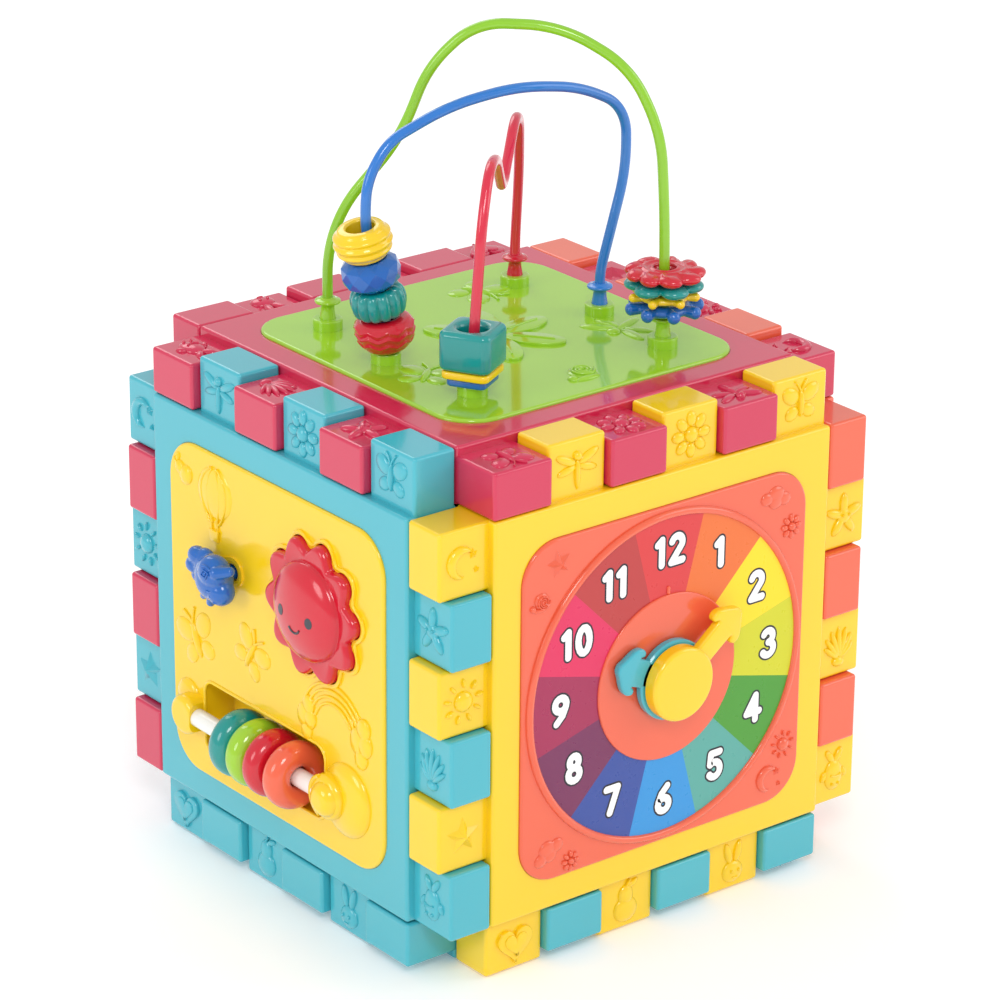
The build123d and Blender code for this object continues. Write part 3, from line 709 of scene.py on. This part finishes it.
def build_dial():
    shape = Shape()
    for hour in range(12):
        middle = 90 - 30 * hour
        steps = [middle - 15 + 30 * i / 10 for i in range(11)]
        outer = [polar(DIAL_R, a) for a in steps]
        inner = [polar(DISC_R, a) for a in reversed(steps)]
        rim = outer + inner
        count = len(rim)
        verts = [(x, y, CARD_TOP) for x, y in rim] + [(x, y, TOP + 0.05) for x, y in rim]
        faces = [list(range(count)), list(range(2 * count - 1, count - 1, -1))]
        faces += [[i, i + count, (i + 1) % count + count, (i + 1) % count] for i in range(count)]
        shape.add((verts, faces), mark=hour)
    for hour, rgb in enumerate(HOURS):
        MATERIALS[f"ink_{hour}"] = print_ink(f"dial_ink_{hour or 12}", rgb)
    looks = [f"ink_{hour}" for hour in range(12)]
    piece("clock_dial", shape, looks, "clock_panel", panel_matrix("clock"), ["clock_dial_card"])

    numbers = Shape()
    for hour in range(12):
        text = str(hour or 12)
        u, v = polar(52.6, 90 - 30 * hour)
        for i, digit in enumerate(text):
            step = 6.8 if "0" not in text and "2" not in text else 7.8
            at = u + (i - (len(text) - 1) / 2) * step
            for line in DIGITS[digit]:
                for radius, lift, mark in ((2.08, 0.03, 0), (1.4, 0.1, 1)):
                    numbers.add(flat_line(line, radius), shift(at, v, CARD_TOP + lift, size=1.1), mark)
    inks = ["ink_dark", "ink_white"]
    piece("clock_numbers", numbers, inks, "clock_panel", panel_matrix("clock"))

    circle = [(*polar(DIAL_R + 1.3, a), 0) for a in range(0, 360, 4)]
    rim = Shape().add(strand(circle, 1.6, True, "POLY"), shift(w=TOP + 0.1))
    tick = Shape().add(round_line([(0, 35.2), (0, 37.2)], 0.75), shift(w=TOP + 0.5))
    rim.add((tick.verts, tick.faces))
    piece("clock_dial_rim", rim, "orange", "clock_panel", panel_matrix("clock"))


def arrow_outline(shaft, neck, head, tip, root=0.0):
    """Soft arrow along +v with rounded barbs, as control points of a smooth closed curve."""
    half = [
        (shaft, root), (shaft, root + 1), (shaft, neck - 3), (shaft + 0.4, neck - 1.2),
        (head - 2.4, neck - 4.0), (head + 0.6, neck - 3.4), (head + 1.0, neck + 0.2),
        (head - 1.6, neck + 3.4), (3.4, tip - 1.6), (1.8, tip + 0.5),
    ]
    return half + [(-x, y) for x, y in reversed(half)]


def build_hands():
    disc_top = TOP + 1.2
    matrix = panel_matrix("clock")
    hour = Shape().add(lathe([(6.6, 0.1), (HUB_R - 0.7, 0.0), (HUB_R, 0.8), (HUB_R, 3.0), (HUB_R - 0.6, 3.7),
                              (6.6, 3.7)]),
                       shift(w=disc_top + 0.3))
    arrow = arrow_outline(5.6, 22.2, 8.9, 29.4, 8)
    hour.add(plate([arrow], 0.3, 4.0, 1.1, "NURBS"), shift(w=disc_top, turn=HOUR_TURN))
    piece("hour_hand_shape", hour, "teal", "hour_hand", matrix, ["hour_hand"])

    low, knob = disc_top + 4.3, TOP + 11.35
    soft = 1.6
    profile = [(0.3, low), (KNOB_R - 0.4, low), (KNOB_R, low + 0.4)]
    profile += [(KNOB_R - soft + soft * math.cos(t), knob - soft + soft * math.sin(t)) for t in
                [math.pi / 2 * i / 8 for i in range(9)]]
    profile += [(0.3, knob)]
    minute = Shape().add(lathe(profile, count=96, closed=False))
    arrow = arrow_outline(4.7, 29.8, 8.4, 37.6, 8)
    minute.add(plate([arrow], low, low + 4.2, 1.3, "NURBS"), shift(turn=MINUTE_TURN))
    piece("minute_hand_shape", minute, "yellow", "minute_hand", matrix, ["minute_hand"])


build_dial()
build_hands()


# ---------------------------------------------------------------- abacus panel: sun, bird, window trim
SUN_U, SUN_V, SUN_RAYS, SUN_TURN = 28.3, 29.0, 10, 112.0
SUN_RISE, SUN_DOME_R = 4.6, 20.3
BIRD_AT = (-29.1, 24.7)
SLOT_LEFT, SLOT_RIGHT = (-45.5, 19.8), (-26.5, 26.0)


def polar_at(radius, angle):
    return radius * math.cos(angle), radius * math.sin(angle)


def sun_radius(angle, grow=0.0):
    wave = (1 + math.cos(SUN_RAYS * (angle - math.radians(SUN_TURN)))) / 2
    return 24.3 + grow + 5.0 * wave ** 0.72


def sun_face_height(r):
    return SUN_RISE - 0.2 + 6.9 * math.sqrt(max(1 - (r / SUN_DOME_R) ** 2, 0))


def build_sun():
    count = 200
    spin = angles(count)
    rows = []
    for drop, h in [(0.0, -1.0), (0.0, 2.0)] + [
        (2.4 - 2.4 * math.cos(t), 2.0 + 2.6 * math.sin(t)) for t in [math.pi / 2 * i / 8 for i in range(1, 9)]
    ]:
        rows.append([(*polar_at(sun_radius(a) - drop, a), h) for a in spin])
    for i in range(1, 7):
        share = i / 6
        row = []
        for a in spin:
            r = (sun_radius(a) - 2.4) * (1 - share) + (SUN_DOME_R + 0.1) * share
            row.append((*polar_at(r, a), SUN_RISE - 0.3 * share ** 2))
        rows.append(row)
    for i in range(13):
        r = SUN_DOME_R * math.cos(math.pi / 2 * i / 13.3)
        rows.append([(*polar_at(r, a), sun_face_height(r)) for a in spin])
    shape = Shape().add(rings(rows), shift(SUN_U, SUN_V, TOP))
    piece("sun_button_shape", shape, "red", "sun_button", panel_matrix("abacus"), ["sun_button"])

    face = Shape()
    for side in (-1, 1):
        cx, cy = side * 9.0, -0.4
        rows = []
        for share in (1.0, 0.92, 0.7, 0.4, 0.05):
            row = []
            for a in angles(28):
                x, y = cx + 2.0 * share * math.cos(a), cy + 2.4 * share * math.sin(a)
                lift = 0.16 if share < 1 else -0.2
                row.append((x, y, sun_face_height(math.hypot(x, y)) + lift))
            rows.append(row)
        face.add(rings(rows), shift(SUN_U, SUN_V, TOP))
    smile = []
    for a in range(200, 341, 14):
        x, y = polar_ellipse(3.4, 3.0, a)
        x, y = x + 0.4, y - 4.0
        smile.append((x, y, sun_face_height(math.hypot(x, y)) + 0.05))
    face.add(strand(smile, 0.45), shift(SUN_U, SUN_V, TOP))
    piece("sun_face", face, "face_grey", "sun_button", panel_matrix("abacus"))


def build_bird():
    """Round bird seen from its side, beak to the right and tail to the left."""
    place = shift(*BIRD_AT, TOP + 8.0)
    shape = Shape()
    for at, radii in [
        ((0, 0, 0), (9.4, 9.7, 7.0)), ((2.6, 3.8, 1.6), (7.6, 7.0, 6.2)), ((5.0, -4.0, 0.4), (6.4, 6.0, 5.4)),
        ((-13.0, 4.8, -1.4), (5.2, 3.9, 3.6)), ((-15.2, 0.2, -1.4), (4.8, 3.6, 3.4)),
        ((-13.4, -4.2, -2.6), (4.8, 3.2, 3.0)), ((-8.6, 1.8, -2.0), (6.4, 7.4, 4.2)),
    ]:
        shape.add(ellipsoid(radii, 24, 14), shift(*at))
    for foot in ((-13.6, -8.4, -3.0), (-12.0, -12.4, -3.4), (-7.6, -14.0, -3.4)):
        shape.add(capsule((-4.0, -5.0, -2.6), foot, 3.2, 1.9))
    shape.add(capsule((7.6, 5.6, 4.4), (12.0, 6.6, 1.0), 2.8, 2.2))
    shape.add(capsule((0, 0, -7.8), (0, 0, -2.0), 3.4))
    bird = Shape().add(melted(shape, 0.45, 4), place)
    brow = [(2.2, 7.6, 7.0), (4.8, 8.2, 6.6), (6.8, 6.6, 6.5)]
    eye = [(2.4, 4.0, 7.9), (3.6, 6.4, 7.5), (6.2, 5.6, 7.2), (5.2, 3.4, 7.7)]
    bird.add(strand(brow, 0.55), place).add(strand(eye, 0.5, True, "POLY"), place)
    bird.add(dome(0.9, 0.9, 0.8, count=14), place @ shift(4.3, 4.9, 7.5))
    for i in range(3):
        line = [(3.2 + 1.4 * i, -3.0 - 2.2 * i, 6.2 - 0.7 * i),
                (7.0 + 0.6 * i, -3.6 - 1.9 * i, 4.9 - 0.7 * i),
                (10.4 - 0.6 * i, -3.6 - 1.6 * i, 2.0 - 0.4 * i)]
        bird.add(strand(line, 0.55), place)
    piece("bird_shape", bird, "blue", "bird", panel_matrix("abacus"), ["bird_slider"], crease=60)


def build_window_trim():
    shape = Shape()
    u0, u1, v0, v1, r = -49.0, 33.6, -60.0, -28.0, 6.0
    corners = [(u1 - r, v1 - r, 0), (u0 + r, v1 - r, 90), (u0 + r, v0 + r, 180), (u1 - r, v0 + r, 270)]
    rim = [(cx + polar(r, a)[0], cy + polar(r, a)[1], 0)
           for cx, cy, s in corners for a in range(s, s + 91, 15)]
    shape.add(strand(rim, 0.8, True, "POLY"), shift(w=TOP))
    shape.add(dome(15.0, 15.5, 4.4, count=48, steps=12), shift(47.5, -45.0, TOP))
    shape.add(dome(7.4, 7.0, 2.6, count=40, steps=10), shift(-60.0, -39.0, TOP))
    lip = [(*polar(8.8, a), 0) for a in range(110, 251, 10)]
    shape.add(strand(lip, 0.9), shift(41.0, -44.5, TOP + 6.6))
    way = math.atan2(SLOT_RIGHT[1] - SLOT_LEFT[1], SLOT_RIGHT[0] - SLOT_LEFT[0])
    ends = [(*SLOT_RIGHT, -90), (*SLOT_LEFT, 90)]
    slot = []
    for cu, cv, start in ends:
        for a in range(0, 181, 15):
            du, dv = polar(4.8, start + a + math.degrees(way))
            slot.append((cu + du, cv + dv, 0))
    shape.add(strand(slot, 0.8, True, "POLY"), shift(w=TOP + 0.3))
    edge = [(*polar_at(sun_radius(a, 1.5), a), 0) for a in angles(200)]
    shape.add(strand(edge, 0.9, True, "POLY"), shift(SUN_U, SUN_V, TOP + 0.3))
    piece("abacus_trim", shape, "yellow", "abacus_panel", panel_matrix("abacus"))


build_sun()
build_bird()
build_window_trim()


# ---------------------------------------------------------------- wires' feet
def build_feet():
    """Turned plug with a waisted neck and a round flange, for both ends of a wire."""
    wire_r = 2.15
    profile = [(wire_r, -5.0), (3.3, -5.0), (3.3, 4.2), (3.1, 5.6)]
    profile += [(2.75, 7.6), (2.7, 9.4), (3.2, 10.3), (4.6, 10.8)]
    profile += [(4.5 + 0.75 * math.cos(t), 11.45 + 0.75 * math.sin(t)) for t in
                [math.radians(a) for a in range(-60, 91, 25)]]
    profile += [(3.3, 12.5), (2.9, 13.05), (wire_r, 13.1)]
    for colour, look in (("green", "green"), ("blue", "foot_blue"), ("red", "red")):
        low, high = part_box(f"{colour}_wire_feet")
        shape = Shape()
        for side in (-1, 1):
            flip = 1 if colour == "red" else -1
            half = (high - low) / 2 / MM
            at = (side * (half.x - 5.2), side * flip * (half.y - 5.2), 0)
            shape.add(lathe(profile, 40), Matrix.Translation(at))
        matrix = Matrix.Translation((0, 0, CUBE + 1.3 * MM)) @ Matrix.Scale(MM, 4)
        piece(f"{colour}_feet_shape", shape, look, "top_panel", matrix,
              [f"{colour}_wire_feet"], crease=50)


build_feet()


def bead_matrix(node, tip=0.0):
    """Place of a bead: the middle of its CAD box, tipped about +Y."""
    low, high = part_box(node)
    return (Matrix.Translation((low + high) / 2) @ Matrix.Rotation(math.radians(-tip), 4, "Y")
            @ Matrix.Scale(MM, 4))


def onion(radius, tall, bore, rim, bulge=1.0, skew=1.0):
    """Closed outline of a round bead: bore, then the outside from bottom to top."""
    made = [(bore, tall - 0.7), (bore, -tall + 0.7), (bore + 0.7, -tall)]
    for i in range(15):
        t = math.pi * (i + 0.5) / 15
        r = rim + (radius - rim) * math.sin(math.pi * (t / math.pi) ** skew) ** (0.75 * bulge)
        made.append((r, -tall * math.cos(t) * 0.985))
    return made + [(bore + 0.7, tall)]


def build_blue_leg_beads():
    def zigzag(a, r, h):
        if r < 7.2:
            return r, h
        band = 0.0
        for level in (-2.6, 0.6, 3.6):
            wave = level + 1.5 * abs(((a * 9 / math.pi) % 2) - 1) - 0.75
            band += math.exp(-((h - wave) / 0.62) ** 2)
        return r + 0.55 * band - 0.25, h

    def ribs(a, r, h):
        if r < 7.2:
            return r, h
        swell = abs(math.cos(a * 6.5)) ** 0.6
        return r - 1.5 * (1 - swell), h

    def steps(a, r, h):
        if r < 7.4:
            return r, h
        return r + 0.4 * math.cos(h * 1.9), h

    for node, tip, look, profile, warp, count, crease in (
        ("red_zigzag_bead", 7.0, "red", dense(onion(11.9, 6.8, 5.8, 7.0, skew=1.35), 0.5), zigzag, 220, 60),
        ("teal_ribbed_bead", 11.0, "bead_teal", dense(onion(11.2, 6.0, 5.8, 7.2), 0.8), ribs, 192, 60),
        ("yellow_stepped_bead", 13.0, "yellow", dense(onion(11.4, 6.6, 5.6, 6.8, 1.2, 1.1), 0.4), steps,
         96, 60),
    ):
        shape = Shape().add(lathe(profile, count, warp))
        matrix = bead_matrix(node, tip)
        piece(f"{node}_shape", shape, look, node, matrix, [node], crease=crease)
    below = [(6.0, -5.3), (6.6, -6.0), (8.0, -6.0), (11.2, -3.5)]
    gem = Shape().add(diamonds(below + [(11.9, 0)] + [(r, -h) for r, h in reversed(below)], 11))
    node = "blue_faceted_bead"
    piece(f"{node}_shape", gem, "blue", node, bead_matrix(node, 13.0), [node], crease=8)


def diamonds(profile, sides):
    """Closed bead cut in facets: every other row of corners is turned half a step."""
    step = 2 * math.pi / sides
    verts, faces = [], []
    for i, (r, h) in enumerate(profile):
        off = step / 2 * (i % 2)
        verts += [(r * math.cos(j * step + off), r * math.sin(j * step + off), h) for j in range(sides)]
    rows = len(profile)
    for i in range(rows):
        a, b = i * sides, (i + 1) % rows * sides
        ahead = (i + 1) % rows % 2 > i % 2
        behind = (i + 1) % rows % 2 < i % 2
        for j in range(sides):
            k = (j + 1) % sides
            if ahead:
                faces += [[a + j, a + k, b + j], [a + k, b + k, b + j]]
            elif behind:
                faces += [[a + j, b + k, b + j], [a + j, a + k, b + k]]
            else:
                faces.append([a + j, a + k, b + k, b + j])
    return verts, faces


def dense(profile, step):
    """The same outline with points no further apart than step."""
    made = []
    for (r0, h0), (r1, h1) in zip(profile, profile[1:] + profile[:1]):
        parts = max(1, math.ceil(math.hypot(r1 - r0, h1 - h0) / step))
        made += [(r0 + (r1 - r0) * i / parts, h0 + (h1 - h0) * i / parts) for i in range(parts)]
    return made


def rounded_square(half, corner):
    made = []
    for sx, sy, start in ((1, 1, 0), (-1, 1, 90), (-1, -1, 180), (1, -1, 270)):
        for a in range(start, start + 91, 10):
            x, y = polar(corner, a)
            made.append((sx * (half - corner) + x, sy * (half - corner) + y))
    return made


def build_red_leg_beads():
    hole = [polar(5.6, -a) for a in range(0, 360, 8)]
    for node, half, corner, thick, edge, look in (
        ("blue_square_disc", 8.2, 2.6, 3.0, 0.9, "blue"),
        ("yellow_square_disc", 9.8, 3.0, 3.2, 1.0, "yellow"),
        ("teal_cube_bead", 10.7, 3.9, 15.9, 2.2, "bead_teal"),
    ):
        shape = Shape()
        outer = rounded_square(half, corner)
        shape.add(plate([outer, hole], -thick / 2, thick / 2, edge))
        matrix = bead_matrix(node) @ Matrix.Rotation(math.radians(29.5), 4, "Z")
        piece(f"{node}_shape", shape, look, node, matrix, [node], crease=50)


def flower_ring(shape, radius, thick, flat):
    loop = [(*polar(radius, a), 0) for a in range(0, 360, 10)]
    verts, faces = strand(loop, thick, True, "POLY")
    shape.add(([(x, y, z * flat) for x, y, z in verts], faces))


def build_green_leg_beads():
    def blue_flower():
        shape = Shape()
        flower_ring(shape, 7.4, 3.6, 0.62)
        for i in range(8):
            a = 20 + 45 * i
            shape.add(capsule((*polar(7, a), 0), (*polar(13.2, a), 0), 2.0, 2.9))
        return shape

    def yellow_flower():
        shape = Shape()
        flower_ring(shape, 7.0, 3.4, 0.55)
        for i in range(7):
            a = 4 + 360 / 7 * i
            shape.add(capsule((*polar(6, a), 0), (*polar(12.4, a), 0), 1.9, 2.0))
        return shape

    def teal_flower():
        shape = Shape()
        flower_ring(shape, 6.8, 3.4, 0.6)
        for i in range(6):
            shape.add(ellipsoid((5.8, 5.6, 2.7), 24, 14), shift(*polar(10.2, 14 + 60 * i)))
        return shape

    def rosette():
        shape = Shape()
        flower_ring(shape, 8.2, 4.4, 0.5)
        for radius, lift in ((5.2, 1.9), (8.4, 2.0)):
            loop = [(*polar(radius, a), lift) for a in range(0, 360, 15)]
            shape.add(strand(loop, 0.75, True, "POLY"))
        for i in range(9):
            a = 40 * i
            shape.add(ellipsoid((5.0, 3.6, 2.4), 24, 14), shift(*polar(12.2, a), turn=a + 58))
            hook = [(*polar(9.4, a - 14), 1.9), (*polar(13.4, a - 10), 2.1), (*polar(15.6, a + 4), 1.2),
                    (*polar(15.0, a + 14), 0.4)]
            shape.add(strand(hook, 0.8))
        return shape

    for node, make, look in (
        ("blue_flower_disc", blue_flower, "blue"), ("yellow_flower_disc", yellow_flower, "yellow"),
        ("teal_flower_disc", teal_flower, "bead_teal"), ("red_rosette", rosette, "red"),
    ):
        shape = Shape().add(melted(make(), 0.4, 4))
        piece(f"{node}_shape", shape, look, node, bead_matrix(node), [node], crease=180)


build_blue_leg_beads()
build_red_leg_beads()
build_green_leg_beads()


# ---------------------------------------------------------------- camera, light, floor
def look_axes(azimuth, elevation, roll):
    a, e = math.radians(azimuth), math.radians(elevation)
    back = Vector((math.sin(a) * math.cos(e), -math.cos(a) * math.cos(e), math.sin(e)))
    right = Vector((math.cos(a), math.sin(a), 0))
    turn = Matrix.Rotation(math.radians(roll), 3, back)
    return turn @ right, turn @ back.cross(right), back


def build_camera():
    right, up, back = look_axes(-38.46, 22.01, 0.471)
    aim = Vector((0.01048, 0.00876, CUBE / 2 + 0.03309))
    distance = 1.71593
    data = bpy.data.cameras.new("camera")
    data.lens, data.sensor_width = 152.354, 36.0
    data.clip_start, data.clip_end = 0.05, 50.0
    camera = bpy.data.objects.new("camera", data)
    bpy.context.scene.collection.objects.link(camera)
    turn = Matrix((right, up, back)).transposed().to_4x4()
    camera.matrix_world = Matrix.Translation(aim + back * distance) @ turn
    bpy.context.scene.camera = camera


def area_light(name, at, aim, size, power):
    data = bpy.data.lights.new(name, "AREA")
    data.shape, data.size, data.energy = "DISK", size, power
    lamp = bpy.data.objects.new(name, data)
    bpy.context.scene.collection.objects.link(lamp)
    lamp.location = at
    lamp.rotation_mode = "QUATERNION"
    lamp.rotation_quaternion = (Vector(aim) - Vector(at)).to_track_quat("-Z", "Y")


def build_stage():
    world = bpy.data.worlds.new("studio")
    bpy.context.scene.world = world
    world.use_nodes = True
    world.node_tree.nodes["Background"].inputs["Color"].default_value = (1, 1, 1, 1)
    world.node_tree.nodes["Background"].inputs["Strength"].default_value = 0.72
    middle = (0, 0, CUBE / 2)
    area_light("key", (-1.3, -1.8, 2.0), middle, 0.9, 19.0)
    area_light("side", (-2.2, 0.2, 1.0), middle, 1.0, 9.0)
    area_light("fill", (1.6, -1.3, 1.0), middle, 1.4, 9.0)
    area_light("back", (0.4, 1.9, 1.8), middle, 1.4, 10.0)

    floor = bpy.data.meshes.new("floor")
    reach = 8.0
    corners = [(-reach, -reach, 0), (reach, -reach, 0), (reach, reach, 0), (-reach, reach, 0)]
    floor.from_pydata(corners, [], [[0, 1, 2, 3]])
    material, tree, shader = node_tree("floor")
    tinted(tree, shader, (252, 252, 252), 4.0, 0.01)
    shader.inputs["Roughness"].default_value = 0.8
    shader.inputs["Emission Color"].default_value = (1, 1, 1, 1)
    shader.inputs["Emission Strength"].default_value = 0.14
    floor.materials.append(material)
    made = bpy.data.objects.new("floor", floor)
    bpy.context.scene.collection.objects.link(made)
    made.location.z = -0.0005
    bpy.context.scene.view_settings.view_transform = "Standard"


build_camera()
build_stage()
